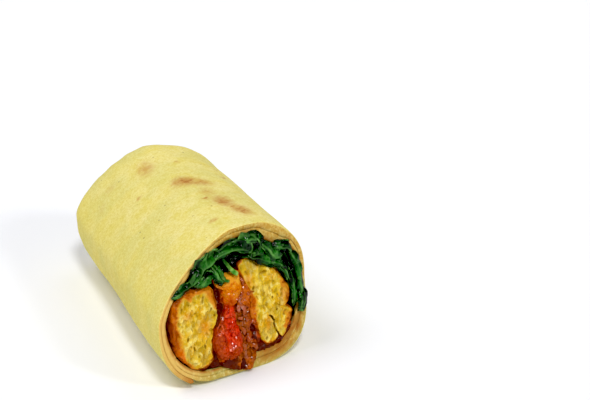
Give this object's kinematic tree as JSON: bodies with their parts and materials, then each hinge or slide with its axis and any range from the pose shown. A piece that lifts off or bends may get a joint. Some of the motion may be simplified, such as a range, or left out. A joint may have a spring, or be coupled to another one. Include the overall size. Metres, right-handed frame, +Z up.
{
  "type": "onion bhaji wrap half",
  "caption": "Half of an onion bhaji wrap, cut on a slant: a rolled tortilla packed with onion bhajis, wilted spinach, peppers and chutney.",
  "frame": {"origin": "middle of the half's bounding box, on the level surface it rests on", "axes": "-Y out of the slanted cut and +Y towards the folded end, along the roll; +X to the right for someone facing the cut; +Z up"},
  "size_m": [0.0536, 0.1086, 0.0459],
  "materials": {
    "tortilla": "soft matte wheat bread, pale yellow with toasted spots",
    "bhaji": "fried batter, yellow crumb inside an orange-brown crust",
    "spinach": "moist wilted leaf, dark green",
    "red_pepper": "moist cooked pepper, bright red",
    "orange_pepper": "moist cooked pepper, orange",
    "chutney": "wet, thick, red-brown"
  },
  "bodies": {
    "root": {"tortilla": "tortilla", "bhaji_left": "bhaji", "bhaji_right": "bhaji", "spinach": "spinach", "red_pepper": "red_pepper", "orange_pepper": "orange_pepper", "chutney": "chutney"}
  },
  "joints": []
}
